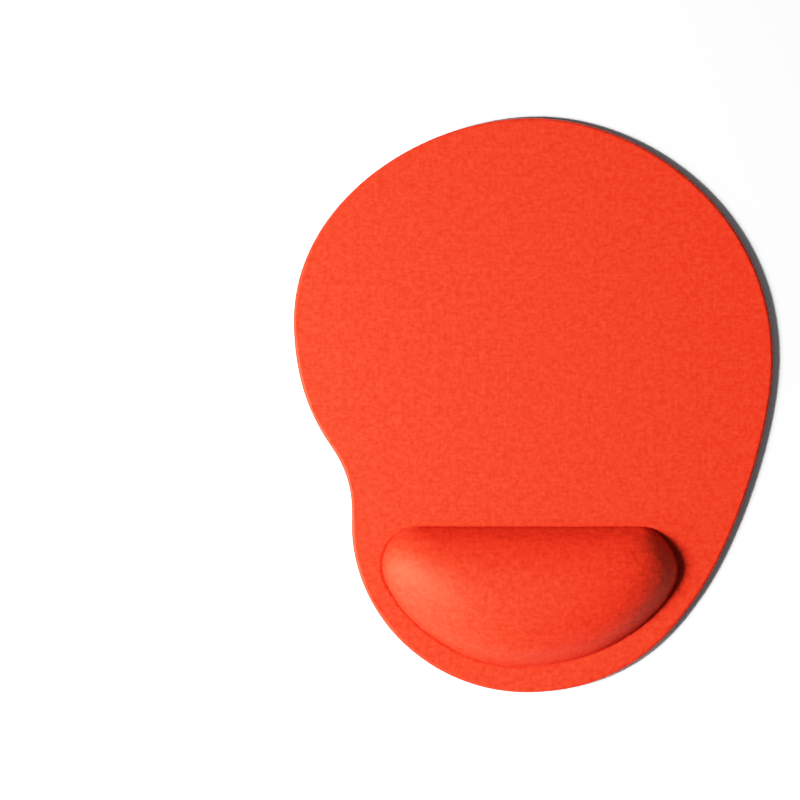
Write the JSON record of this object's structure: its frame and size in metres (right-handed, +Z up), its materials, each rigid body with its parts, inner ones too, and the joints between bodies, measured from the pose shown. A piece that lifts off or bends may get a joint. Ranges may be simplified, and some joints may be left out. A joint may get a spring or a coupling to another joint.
{
  "type": "mouse mat with wrist rest",
  "caption": "Egg-shaped mouse mat with a waist on one side and a domed, D-shaped foam wrist rest built in under one stretched knit cover.",
  "frame": {"origin": "centre of the outline's bounding box, on the desk plane under the mat", "axes": "+X to the right of the person at the desk, +Y away from them along the mat's length, +Z up"},
  "size_m": [0.192, 0.23, 0.019],
  "materials": {
    "base_rubber": "matte, moulded non-slip pattern on the underside",
    "hot_melt": "satin adhesive film",
    "mat_foam": "matte closed-cell foam",
    "cushion_foam": "matte moulded foam",
    "knit": "matte fine knit"
  },
  "bodies": {
    "root": {"base_sheet": "base_rubber", "base_bond_film": "hot_melt", "mat_foam": "mat_foam", "core_bond_film": "hot_melt", "wrist_cushion": "cushion_foam", "cover_bond_film": "hot_melt", "knit_cover": "knit"}
  },
  "joints": []
}
